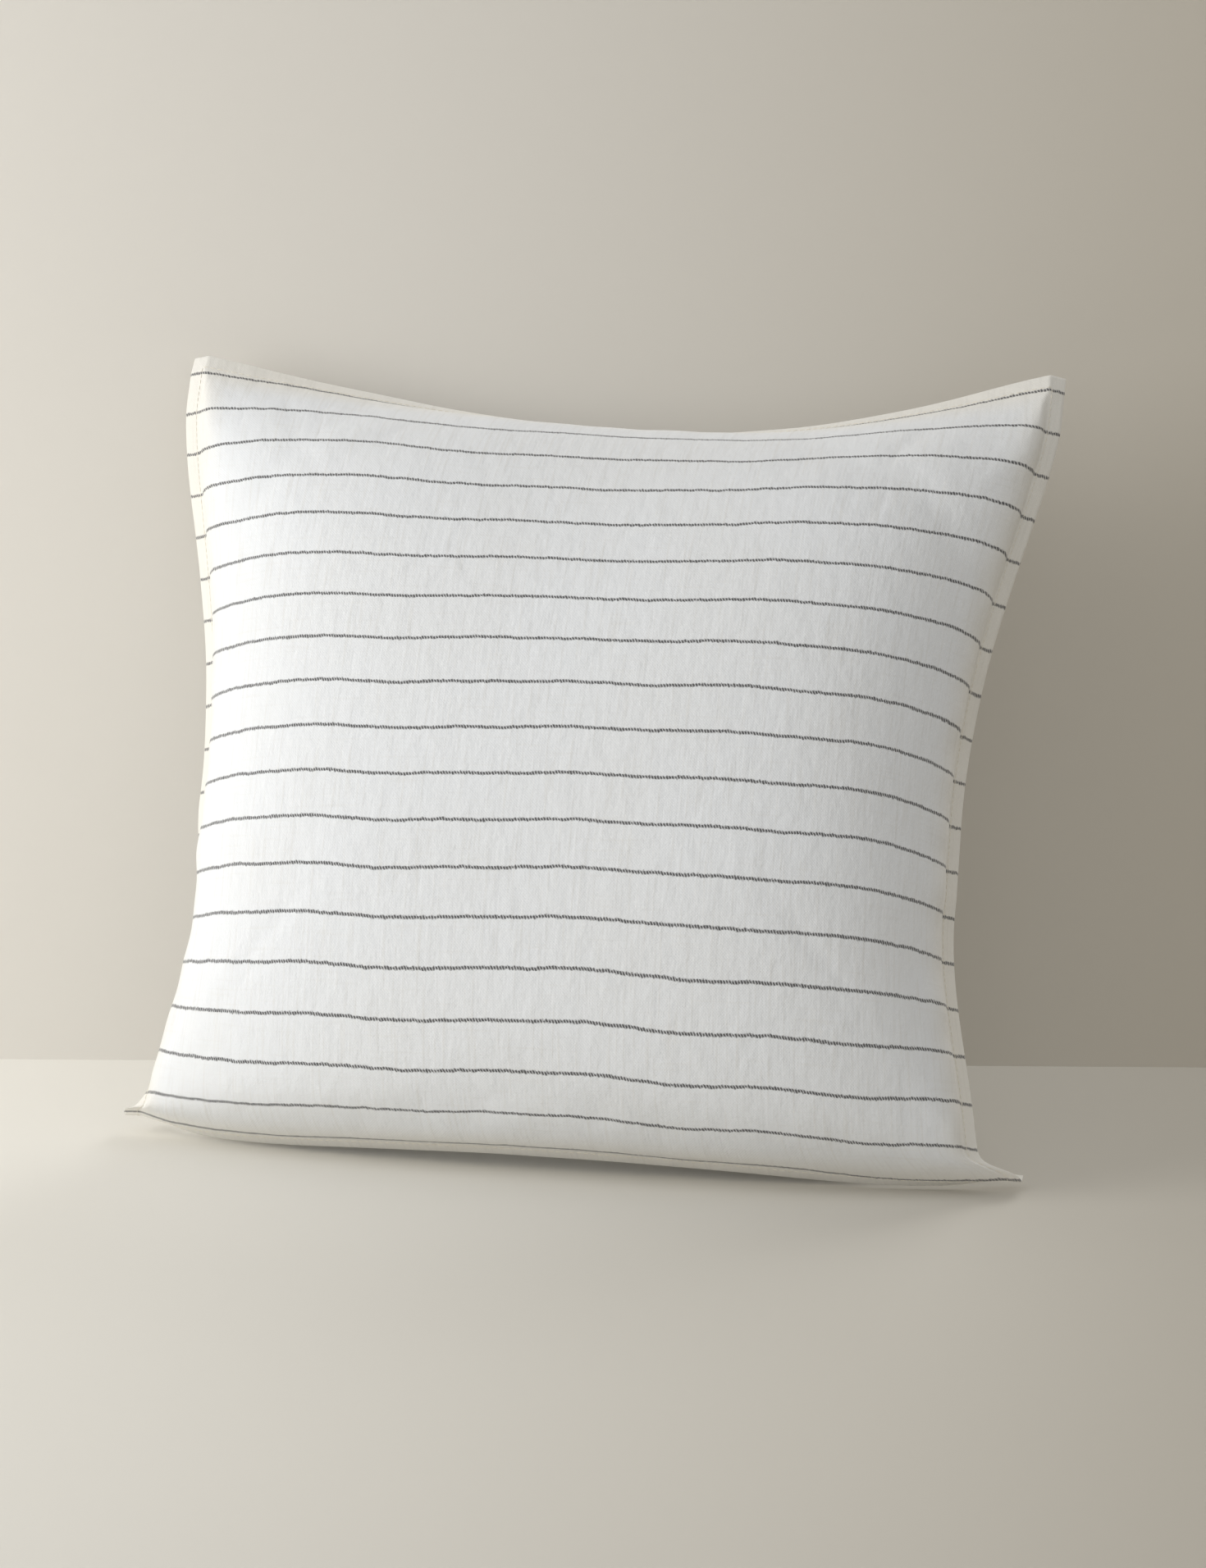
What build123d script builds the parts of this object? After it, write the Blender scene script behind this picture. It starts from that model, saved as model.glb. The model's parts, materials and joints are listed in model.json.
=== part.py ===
from build123d import *
import math
import os

# Square throw pillow, standing on its lower edge and leaning back (+Y); its front looks to -Y.
# Millimetres. The floor is Z = 0. The cushion is drawn in its own leaning plane, whose local
# X runs across, local Y runs up the cushion, and local Z points out of its front.

lean_angle = 26.5            # from the vertical
base_y = -104.5              # where the leaning plane meets the floor

# Cover, in the leaning plane
bottom_half_width = 238.0    # seam line, at the bottom corners
top_half_width = 245.0       # seam line, at the top corners
side_pull = 28.0             # how far each side pulls in between its corners
seam_bottom = 12.0           # height of the bottom seam up the plane
seam_top = 461.0             # height of the top corners of the seam
top_sag = 28.0               # how far the top edge sinks between its corners
flange_width = 11.0
corner_radius = 9.0

cover_wall = 1.2             # linen with its turnings
layer_gap = 1.8
ticking_wall = 0.8

# Crown of each half: height above the plane, and how far in from the seam line it is reached
crown_levels = [(0.0, 0.0), (25.0, 15.0), (42.0, 32.0), (56.0, 52.0), (66.0, 86.0), (73.0, 130.0)]
# Height of each level's lower side up the plane: the back sags to the floor
front_lower_side = [12.0, 26.0, 42.0, 64.0, 100.0, 150.0]
back_lower_side = [12.0, 0.0, 8.0, 48.0, 97.0, 150.0]
# Share of the reach by which a level's lower corners come in: the back is held wide by its zip
front_lower_share = 1.0
back_lower_share = 0.6

# Zip, on the flat strip of the back between two of its levels
zip_level = 3
zip_half_length = 168.0      # half of the opening
slot_half_width = 5.0
tape_depth = 1.5             # outer face of the tape, below the back's outer face
tape_thickness = 0.6
tape_inner_edge = 0.55
tape_outer_edge = 14.0
tape_overrun = 5.0           # tape beyond each end of the opening
coil_outer_edge = 2.6
coil_height = 1.2
stop_length = 2.5
trough_half_width = 16.0     # room that the zip takes from the inner pad
trough_depth = 4.6
trough_overrun = 8.0
stitch_width = 0.8
stitch_height = 0.4
flange_stitch_offset = 2.0   # from the seam line out to the middle of the flange's topstitch
zip_stitch_offset = 8.0      # from the middle of the opening to a row of stitches

# Slider and pull
slider_x = 158.0             # closed position
slider_length = 9.0
slider_half_width = 4.0
plate_thickness = 0.9
plate_gap = 0.3              # between the slider's plates and the zip
slider_lip = 0.8
post_half_width = 0.35
post_length = 3.0
bridge_half_length = 3.5
bridge_width = 1.6
bridge_height = 2.8
bridge_bar = 0.9
pivot_height = 1.0           # of the pull's pin above the slider's upper plate
pin_radius = 0.5
pull_half_width = 3.2
pull_window_half_width = 1.3
pull_window_length = 4.8
pull_length = 24.0
pull_heel = 0.5              # pull behind its pin
pull_thickness = 1.0

# Blank labels inside the cover, beside the zip
label_length = 36.0
label_width = 8.5
label_thickness = 0.3
label_x = 90.0
label_offset = 9.8

sine = math.sin(math.radians(lean_angle))
cosine = math.cos(math.radians(lean_angle))
cushion = Plane(origin=(0, base_y, 0), x_dir=(1, 0, 0), z_dir=(0, -cosine, sine))


def outline(inset, lower_inset, lower_side):
    """Closed outline, inset from the seam line: straight lower side, sides and top drawn in by arcs."""
    half_bottom = bottom_half_width - lower_inset
    half_top = top_half_width - inset
    top = seam_top - inset
    middle = (lower_side + top) / 2
    half_middle = (bottom_half_width + top_half_width) / 2 - inset - side_pull
    with BuildSketch() as face:
        with BuildLine():
            Line((-half_bottom, lower_side), (half_bottom, lower_side))
            ThreePointArc((half_bottom, lower_side), (half_middle, middle), (half_top, top))
            ThreePointArc((half_top, top), (0, top - top_sag), (-half_top, top))
            ThreePointArc((-half_top, top), (-half_middle, middle), (-half_bottom, lower_side))
        make_face()
        fillet(face.vertices(), corner_radius)
    return face.sketch


def half_body(front, inset):
    """One crowned half of the cushion, drawn in by inset on every side and cut flat at the floor."""
    side = 1 if front else -1
    lower_sides = front_lower_side if front else back_lower_side
    lower_share = front_lower_share if front else back_lower_share
    with BuildPart() as half:
        for (height, reach), lower_side in zip(crown_levels, lower_sides):
            level = side * max(height - inset, 0)
            with BuildSketch(cushion.offset(level)):
                add(outline(reach + inset, reach * lower_share + inset, lower_side + inset))
        loft(ruled=True)
        split(bisect_by=Plane.XY.offset(inset), keep=Keep.TOP)
    return half.part


def flange_ring(front, outer, inner, start, thickness):
    """A flat ring in the leaning plane between two outlines, outer and inner from the seam line."""
    side = 1 if front else -1
    with BuildPart() as ring:
        with BuildSketch(cushion.offset(side * start)):
            add(outline(-outer, -outer, seam_bottom - outer))
            add(outline(-inner, -inner, seam_bottom - inner), mode=Mode.SUBTRACT)
        extrude(amount=side * thickness)
        split(bisect_by=Plane.XY, keep=Keep.TOP)
    return ring.part


# The zip's own plane: local X along the zip, local Y up the back, local Z out of the back
lower_edge = cushion.from_local_coords((0, back_lower_side[zip_level], -crown_levels[zip_level][0]))
upper_edge = cushion.from_local_coords((0, back_lower_side[zip_level + 1], -crown_levels[zip_level + 1][0]))
zip_middle = (lower_edge + upper_edge) / 2
zip_up = (upper_edge - lower_edge).normalized()
zip_out = Vector(-1, 0, 0).cross(zip_up)
zip_face = Plane(origin=zip_middle, x_dir=(-1, 0, 0), z_dir=zip_out)
# The plane along the zip that parts the upper back from the lower back
parting = Plane(origin=zip_middle, x_dir=(1, 0, 0), z_dir=zip_up)


def zip_bar(half_length, near, far, bottom, top, middle_x=0.0):
    """A straight bar along the zip: its two edges up the back, and its two heights out of it."""
    with BuildPart() as bar:
        with BuildSketch(zip_face.offset(bottom)):
            with Locations((middle_x, (near + far) / 2)):
                Rectangle(2 * half_length, far - near)
        extrude(amount=top - bottom)
    return bar.part


def troughed(body, extra):
    """The body with a straight trough along the zip, grown by extra on every side."""
    with BuildPart() as cut:
        add(body)
        half_width = trough_half_width + extra
        reach = zip_half_length + trough_overrun + extra
        add(zip_bar(reach, -half_width, half_width, -trough_depth - extra, trough_depth), mode=Mode.SUBTRACT)
    return cut.part


def back_cover(keep):
    """One side of the back of the cover: a thin wall with its flange, parted along the zip."""
    with BuildPart() as back:
        add(half_body(False, 0))
        add(half_body(False, cover_wall), mode=Mode.SUBTRACT)
        add(flange_ring(False, flange_width, -cover_wall, 0, cover_wall))
        slot = zip_bar(zip_half_length, -slot_half_width, slot_half_width, -trough_depth, trough_depth)
        add(slot, mode=Mode.SUBTRACT)
        split(bisect_by=parting, keep=keep)
    return back.part


os.makedirs("parts", exist_ok=True)

# Front of the cover: a thin crowned wall and its layer of the flange
with BuildPart() as front_panel:
    add(half_body(True, 0))
    add(half_body(True, cover_wall), mode=Mode.SUBTRACT)
    add(flange_ring(True, flange_width, -cover_wall, 0, cover_wall))
front_panel.part.label = "front_panel"
export_step(front_panel.part, "parts/front_panel.step")

# Back of the cover above the zip
with BuildPart() as back_upper_panel:
    add(back_cover(Keep.TOP))
back_upper_panel.part.label = "back_upper_panel"
export_step(back_upper_panel.part, "parts/back_upper_panel.step")

# Back of the cover below the zip, with the flat patch that the pillow stands on
with BuildPart() as back_lower_panel:
    add(back_cover(Keep.BOTTOM))
back_lower_panel.part.label = "back_lower_panel"
export_step(back_lower_panel.part, "parts/back_lower_panel.step")

# Topstitch through both layers of the flange: a line of thread on each face
with BuildPart() as flange_topstitch:
    for on_front in (True, False):
        outer = flange_stitch_offset + stitch_width / 2
        add(flange_ring(on_front, outer, outer - stitch_width, cover_wall, stitch_height))
flange_topstitch.part.label = "flange_topstitch"
export_step(flange_topstitch.part, "parts/flange_topstitch.step")

# The two rows of stitches that hold the zip to the back
with BuildPart() as zip_topstitch:
    for row in (-1, 1):
        middle = row * zip_stitch_offset
        half = stitch_width / 2
        add(zip_bar(zip_half_length, middle - half, middle + half, 0, stitch_height))
zip_topstitch.part.label = "zip_topstitch"
export_step(zip_topstitch.part, "parts/zip_topstitch.step")

# The two woven tapes
tape_half_length = zip_half_length + tape_overrun
tape_bottom = -tape_depth - tape_thickness
with BuildPart() as zip_tape_upper:
    add(zip_bar(tape_half_length, tape_inner_edge, tape_outer_edge, tape_bottom, -tape_depth))
zip_tape_upper.part.label = "zip_tape_upper"
export_step(zip_tape_upper.part, "parts/zip_tape_upper.step")

with BuildPart() as zip_tape_lower:
    add(zip_bar(tape_half_length, -tape_outer_edge, -tape_inner_edge, tape_bottom, -tape_depth))
zip_tape_lower.part.label = "zip_tape_lower"
export_step(zip_tape_lower.part, "parts/zip_tape_lower.step")

# The two coils, drawn as plain rails with a gap between them for the slider's post
coil_half_length = zip_half_length - stop_length
coil_top = coil_height - tape_depth
with BuildPart() as zip_coil_upper:
    add(zip_bar(coil_half_length, tape_inner_edge, coil_outer_edge, -tape_depth, coil_top))
zip_coil_upper.part.label = "zip_coil_upper"
export_step(zip_coil_upper.part, "parts/zip_coil_upper.step")

with BuildPart() as zip_coil_lower:
    add(zip_bar(coil_half_length, -coil_outer_edge, -tape_inner_edge, -tape_depth, coil_top))
zip_coil_lower.part.label = "zip_coil_lower"
export_step(zip_coil_lower.part, "parts/zip_coil_lower.step")

# A stop at each end of the coils
with BuildPart() as zip_end_stops:
    for end in (-1, 1):
        stop_x = end * (zip_half_length - stop_length / 2)
        add(zip_bar(stop_length / 2, -coil_outer_edge, coil_outer_edge, -tape_depth, coil_top, stop_x))
zip_end_stops.part.label = "zip_end_stops"
export_step(zip_end_stops.part, "parts/zip_end_stops.step")

# Slider: a plate above the coils, one below the tapes, a post between them, and a bridge for the pull
upper_plate = coil_top + plate_gap
upper_plate_top = upper_plate + plate_thickness
lower_plate = tape_bottom - plate_gap
with BuildPart() as zip_slider:
    for bottom in (upper_plate, lower_plate - plate_thickness):
        with BuildSketch(zip_face.offset(bottom)):
            with Locations((-slider_x, 0)):
                RectangleRounded(slider_length, 2 * slider_half_width, slider_half_width / 2)
        extrude(amount=plate_thickness)
    add(zip_bar(post_length / 2, -post_half_width, post_half_width, lower_plate, upper_plate, -slider_x))
    for row in (-1, 1):
        edges = sorted((row * slider_half_width, row * (slider_half_width - slider_lip)))
        add(zip_bar(slider_length / 4, edges[0], edges[1], upper_plate - slider_lip, upper_plate, -slider_x))
    bridge_half_width = bridge_width / 2
    add(zip_bar(bridge_half_length, -bridge_half_width, bridge_half_width,
                upper_plate_top, upper_plate_top + bridge_height, -slider_x))
    eye_half_length = bridge_half_length - bridge_bar
    add(zip_bar(eye_half_length, -bridge_half_width, bridge_half_width,
                upper_plate_top, upper_plate_top + bridge_height - bridge_bar, -slider_x), mode=Mode.SUBTRACT)
zip_slider.part.label = "zip_slider"
export_step(zip_slider.part, "parts/zip_slider.step")

# Pull: a tab with a window for the bridge, turning on its own cross pin; it lies along the closed zip
pivot = upper_plate_top + pivot_height
with BuildPart() as zip_pull:
    with BuildSketch(zip_face.offset(pivot - pull_thickness / 2)):
        with Locations((-slider_x + (pull_length - pull_heel) / 2, 0)):
            RectangleRounded(pull_length + pull_heel, 2 * pull_half_width, pull_heel)
        with Locations((-slider_x + (pull_window_length - pull_heel) / 2, 0)):
            Rectangle(pull_window_length + pull_heel, 2 * pull_window_half_width, mode=Mode.SUBTRACT)
    extrude(amount=pull_thickness)
    pin_plane = Plane(origin=zip_face.from_local_coords((-slider_x, 0, pivot)), x_dir=(1, 0, 0), z_dir=zip_up)
    with BuildSketch(pin_plane):
        Circle(pin_radius)
    extrude(amount=pull_window_half_width, both=True)
zip_pull.part.label = "zip_pull"
export_step(zip_pull.part, "parts/zip_pull.step")

# Inner pad: two cotton panels round the filling, with room for the zip
ticking_inset = cover_wall + layer_gap
fill_inset = ticking_inset + ticking_wall + layer_gap
with BuildPart() as insert_front_ticking:
    add(half_body(True, ticking_inset))
    add(half_body(True, ticking_inset + ticking_wall), mode=Mode.SUBTRACT)
insert_front_ticking.part.label = "insert_front_ticking"
export_step(insert_front_ticking.part, "parts/insert_front_ticking.step")

with BuildPart() as insert_back_ticking:
    add(troughed(half_body(False, ticking_inset), 0))
    add(troughed(half_body(False, ticking_inset + ticking_wall), ticking_wall), mode=Mode.SUBTRACT)
insert_back_ticking.part.label = "insert_back_ticking"
export_step(insert_back_ticking.part, "parts/insert_back_ticking.step")

with BuildPart() as insert_fill:
    add(half_body(True, fill_inset))
    add(troughed(half_body(False, fill_inset), ticking_wall + layer_gap))
insert_fill.part.label = "insert_fill"
export_step(insert_fill.part, "parts/insert_fill.step")

# Blank labels, flat in the room beside the zip
with BuildPart() as care_label:
    add(zip_bar(label_length / 2, -label_offset - label_width / 2, -label_offset + label_width / 2,
                -trough_depth, -trough_depth + label_thickness, label_x))
care_label.part.label = "care_label"
export_step(care_label.part, "parts/care_label.step")

with BuildPart() as insert_label:
    add(zip_bar(label_length / 2, label_offset - label_width / 2, label_offset + label_width / 2,
                -trough_depth, -trough_depth + label_thickness, label_x))
insert_label.part.label = "insert_label"
export_step(insert_label.part, "parts/insert_label.step")

# Places that the row's mounts and joints use
flat_patch = back_lower_panel.faces().sort_by(Axis.Z)[0]
print("flat patch", flat_patch.bounding_box().min, flat_patch.bounding_box().max)
print("zip middle", zip_middle, "along +X; up the back", zip_up, "out of the back", zip_out)
print("pull pivot", zip_face.from_local_coords((-slider_x, 0, pivot)))
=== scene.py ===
# %% [markdown]
# # A linen throw pillow
# This lesson dresses a finished frame of a throw pillow. The frame already holds every piece at its
# real size: the cover's three panels, the zip, the inner pad. Here each soft piece is made again as
# cloth, and every surface gets a woven, moulded or plated finish.

# %% Load the frame
import json
import math

import bpy
import numpy as np
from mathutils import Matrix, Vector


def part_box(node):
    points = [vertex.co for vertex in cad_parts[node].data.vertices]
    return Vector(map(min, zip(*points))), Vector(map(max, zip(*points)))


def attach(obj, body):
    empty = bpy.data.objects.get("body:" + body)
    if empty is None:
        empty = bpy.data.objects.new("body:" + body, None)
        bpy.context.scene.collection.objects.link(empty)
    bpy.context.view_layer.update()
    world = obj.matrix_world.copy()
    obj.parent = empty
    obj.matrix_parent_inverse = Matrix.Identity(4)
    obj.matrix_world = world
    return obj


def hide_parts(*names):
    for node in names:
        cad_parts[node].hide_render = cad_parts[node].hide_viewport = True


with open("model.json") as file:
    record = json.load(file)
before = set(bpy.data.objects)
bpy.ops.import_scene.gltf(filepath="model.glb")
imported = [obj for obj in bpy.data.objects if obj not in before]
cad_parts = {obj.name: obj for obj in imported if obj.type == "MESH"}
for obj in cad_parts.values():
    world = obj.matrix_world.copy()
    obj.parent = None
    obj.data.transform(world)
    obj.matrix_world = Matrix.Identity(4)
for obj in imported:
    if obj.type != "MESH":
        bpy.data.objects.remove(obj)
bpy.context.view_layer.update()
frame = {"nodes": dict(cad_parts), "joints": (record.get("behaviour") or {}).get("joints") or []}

# %% [markdown]
# ## The leaning plane
# The pillow leans back on its lower edge, so it is easiest to shape in a plane that leans with it:
# across, up the cushion, and out of its front. One function turns those three into places in the room.

# %% The leaning plane
MM = 0.001
LEAN = math.radians(26.5)
BASE_Y = -104.5 * MM
HALF = 254 * MM                  # half of the flat square cover
FLANGE = 11 * MM
SEAM = HALF - FLANGE             # from the middle of the cloth to the flange's seam
FIRST_STRIPE = SEAM - 1.4 * MM   # the first stripe just clears the top seam, the last the bottom
PITCH = 2 * FIRST_STRIPE / 18    # from stripe to stripe: eighteen steps between those two


def leaning(across, up, out):
    """Points in the room: across stays X; up and out are turned back by the lean about the X axis."""
    y = BASE_Y + up * math.sin(LEAN) - out * math.cos(LEAN)
    z = up * math.cos(LEAN) + out * math.sin(LEAN)
    return np.stack([across, y, z], -1)


# %% [markdown]
# ## Where the zip lies
# The zip crosses the back below the middle, on a straight line. Its hinge in the frame says where:
# the hinge's axis points down the back along the cloth, and its place is the pull's pin.

# %% Where the zip lies
hinge = next(j for j in frame["joints"] if j["name"] == "pull_hinge")
slide = next(j for j in frame["joints"] if j["name"] == "zip_slide")
PIVOT = np.array(hinge["pos_m"])
ZIP_UP = -np.array(hinge["axis"]) / np.linalg.norm(hinge["axis"])
ZIP_OUT = np.cross([-1.0, 0, 0], ZIP_UP)
PIN_HEIGHT = 1.9 * MM            # of the pull's pin above the face of the cloth
ZIP_MIDDLE = PIVOT * [0, 1, 1] - PIN_HEIGHT * ZIP_OUT
ZIP_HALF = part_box("zip_topstitch")[1][0]
SLOT_HALF = 5 * MM
ZIP_CLOTH = -135 * MM            # height of the zip on the flat cloth, from its middle


def zip_place(along, up, out):
    """Points in the room from the zip's own plane: along +X, up the back, and out of the back."""
    flat = np.stack(np.broadcast_arrays(along, up, out), -1)
    return ZIP_MIDDLE + flat[..., :1] * [1, 0, 0] + flat[..., 1:2] * ZIP_UP + flat[..., 2:] * ZIP_OUT


print("zip middle", ZIP_MIDDLE.round(4), "half length", round(ZIP_HALF, 4), "travel", slide["range_m"])

# %% [markdown]
# ## The camera
# The pillow is seen from a little to its right and a little above, from about two metres with a
# long lens, so its sides stay almost parallel. The camera comes first, because it frames the rest.

# %% The camera
LOOK_AT = np.array([24.8, -62.0, 212.0]) * MM
DISTANCE = 1.948
AZIMUTH = math.radians(11.0)
ELEVATION = math.radians(11.74)
ROLL = math.radians(0.34)

camera_data = bpy.data.cameras.new("camera")
camera_data.sensor_fit = "HORIZONTAL"
camera_data.sensor_width = 36
camera_data.lens = 106.7
camera = bpy.data.objects.new("camera", camera_data)
bpy.context.scene.collection.objects.link(camera)
level = math.cos(ELEVATION)
away = np.array([math.sin(AZIMUTH) * level, -math.cos(AZIMUTH) * level, math.sin(ELEVATION)])
camera.location = LOOK_AT + DISTANCE * away
camera.rotation_mode = "XYZ"
camera.rotation_euler = (math.pi / 2 - ELEVATION, 0, AZIMUTH)
camera.rotation_euler.rotate_axis("Z", ROLL)
bpy.context.scene.camera = camera
print("camera at", tuple(round(v, 3) for v in camera.location))

# %% [markdown]
# ## Two helpers for meshes
# A finished piece keeps its place in its mesh, so its object sits at the origin. The first helper
# turns arrays of points and faces into such an object. The second numbers the four corners of every
# cell of a grid, so a whole surface is joined up without a loop.

# %% Mesh helpers
def make_piece(name, points, faces, cloth=None, smooth=True):
    """An object whose mesh has these points and faces; cloth gives each face corner its U and V."""
    mesh = bpy.data.meshes.new(name)
    face_rows = faces.tolist() if isinstance(faces, np.ndarray) else faces
    mesh.from_pydata(np.asarray(points, float), [], face_rows)
    mesh.polygons.foreach_set("use_smooth", np.full(len(mesh.polygons), smooth))
    if cloth is not None:
        layer = mesh.uv_layers.new(name="cloth")
        layer.data.foreach_set("uv", np.asarray(cloth, np.float32).ravel())
    mesh.update()
    piece = bpy.data.objects.new(name, mesh)
    bpy.context.scene.collection.objects.link(piece)
    return piece


def grid_cells(numbers):
    """The four corner numbers of every cell of a grid of point numbers, going round one way."""
    corners = [numbers[:-1, :-1], numbers[1:, :-1], numbers[1:, 1:], numbers[:-1, 1:]]
    return np.stack(corners, -1).reshape(-1, 4)


def grid_normals(points):
    """Unit normals of a grid of points: the cross product of its two directions."""
    normals = np.cross(np.gradient(points, axis=0), np.gradient(points, axis=1))
    return normals / np.maximum(np.linalg.norm(normals, axis=-1, keepdims=True), 1e-12)


# %% [markdown]
# ## The cut cloth
# The cover is two squares of cloth, sewn together all round. Every point of the cloth keeps its flat
# place: U across, V up. The lines of the grid are closer at the flange and at the zip, where
# the cloth turns sharply, and a line lies exactly on each seam.

# %% The cut cloth
EDGE_LINES = np.array([0, 1.0, 3.6, 7.0, 9.8, 11, 12.4, 14.2, 16.6, 20]) * MM   # in from the edge
CELL = 5.4 * MM


def spread(start, stop):
    """Even steps of about one cell from start to stop, without the last one."""
    return np.linspace(start, stop, max(2, round((stop - start) / CELL)) + 1)[:-1]


def cloth_lines(marks):
    """Grid lines from edge to edge: close lines round each seam, then even cells between the marks."""
    low = -HALF + EDGE_LINES
    stops = [low[-1], *marks, -low[-1]]
    spans = [spread(a, b) for a, b in zip(stops[:-1], stops[1:])]
    return np.concatenate([low[:-1], *spans, -low[::-1]])


SLOT_WALL = 0.6 * MM
slot_marks = [ZIP_CLOTH - SLOT_HALF, ZIP_CLOTH - SLOT_HALF + SLOT_WALL]
slot_marks += [ZIP_CLOTH + SLOT_HALF - SLOT_WALL, ZIP_CLOTH + SLOT_HALF]
u_lines = cloth_lines([-ZIP_HALF - SLOT_WALL, -ZIP_HALF, ZIP_HALF, ZIP_HALF + SLOT_WALL])
v_lines = cloth_lines(slot_marks)
U, V = np.meshgrid(u_lines, v_lines, indexing="ij")
print("cloth grid", U.shape)


# %% [markdown]
# ## The stuffed shape
# A stuffed square cover is a crowned form. Its corners keep nearly their full reach, but each side
# pulls in between them, because the cloth has to go round the filling. This one also sags a little at
# the top and folds its lower flange under itself. The functions below give that shape before the
# cloth settles: first the seam's outline, then the crown that rises from it on both faces.

# %% The seam's outline
def hump(x, power=1.0):
    """A smooth arch: one at zero, nothing at one either side, fuller for a smaller power."""
    return np.clip(1 - x ** 2, 0, 1) ** power


def ease(x):
    """A smooth step from nothing at zero to one at one."""
    x = np.clip(x, 0, 1)
    return x * x * (3 - 2 * x)


REACH_MM = round(SEAM / MM)      # from the middle of the cloth to its seam
WAIST = 211.6                    # half the width where the sides are pulled in most
WAIST_AT = -28.6                 # how high up the cloth that is
TOP_GAIN = 37                    # what half the width gains from the waist up to the top corners
FOOT_GAIN = 19                   # and from the waist down to the lower corners
EAR = 13                         # and at the very corners, which stick out like ears
FOOT_UP = 233.9                  # how far the cloth's middle line is up the lean
STRETCH = 0.952                  # how much of its flat height the cloth keeps
SAG = 17.3                       # how far the top seam's middle hangs below its corners
TOP_BACK = 31.6                  # how far the top seam's middle falls back
FOOT_FORWARD = 18.7              # how far the bottom seam's middle comes forward
TUCK_UNDER = 17.7                # how far the bottom seam is folded back under the pillow


def seam_sheet(u, v):
    """The surface through the seam, in the leaning plane and in millimetres, for cloth at u, v.

    Across: half the width is the waist's plus a gain that is an arch turned over above the waist and a
    smooth step below it, plus the ears, less a dip over them. Up: a straight line in v, less an arch
    along the top, with the lower corners lifted. Out: arches that fall back at the top and come forward
    at the bottom, less the tuck under.
    """
    side, rise = u / REACH_MM, v / REACH_MM
    above = TOP_GAIN * (1 - hump((v - WAIST_AT) / 250, 1.5))
    below = FOOT_GAIN * ease((-v - 70) / 150)
    flare = ease((-v - 218) / 25)
    dip = np.where(u < 0, 6, 3) * hump((v + 150) / 80)
    half = WAIST + np.where(v > WAIST_AT, above, below) + EAR * flare - dip
    gain = REACH_MM / half
    across = half * (gain * side - (gain - 1) * np.sign(side) * np.abs(side) ** 4.72)
    across = across - 3 * hump(rise) + 7 * flare * side ** 2
    low = np.clip((-v - 185) / 58, 0, 1) ** 2
    top = (rise + 1) / 2
    sag = SAG * hump(side) + 9 * hump(side, 1.5) * (side + 0.4)
    up = FOOT_UP + STRETCH * v + 6.5 * low - sag * top ** 2 + 6 * (1 - top) ** 3 * hump(side)
    up = up + flare * np.where(side < 0, 13, 8) * side ** 6
    fold = np.clip((-v - 205) / 38, 0, 1) ** 2
    back = TOP_BACK * top ** 2.66 * hump(side, 1.17)
    out = -TUCK_UNDER * fold - back + FOOT_FORWARD * (1 - top) ** 4 * hump(side, 0.93)
    return across, up, out


print("waist", 2 * WAIST, "mm across, corners", 2 * (WAIST + FOOT_GAIN + EAR), "mm")

# %% [markdown]
# The crown is highest in the middle and falls steeply near the seams. The cloth has to travel up its
# slope, so the lines of the cloth crowd towards the seams when it is seen from the front. Right at
# the seam it leaves the flange almost squarely, which makes the crease, and it is gathered a little.

# %% The crown
CROWN = 64.0                     # height of the middle over the seam, on each face
ROLL_UP = 8.5                    # how far the cloth rises in its first few millimetres
ROLL_LENGTH = 6                  # how far in from the seam it does so
OVERHANG = 3.2                   # how far it rolls out over the flange
CLOTH_GAP = 0.8                  # half the room between the flange's two layers


def gathers(along, phase):
    """Uneven small waves along a seam: three sines whose lengths don't share a beat."""
    return (np.sin(along / 5.3 + phase) + 0.7 * np.sin(along / 8.9 + 2 * phase)
            + 0.8 * np.sin(along / 17.0 + 3 * phase)) / 2.5


def rolled(depth):
    """A swell that starts at the seam, is fullest one roll's length in and dies away exponentially."""
    return depth / ROLL_LENGTH * np.exp(1 - depth / ROLL_LENGTH)


def inside_seam(place):
    """The place itself, or the seam where it is past the seam."""
    return np.clip(place, -REACH_MM, REACH_MM)


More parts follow.
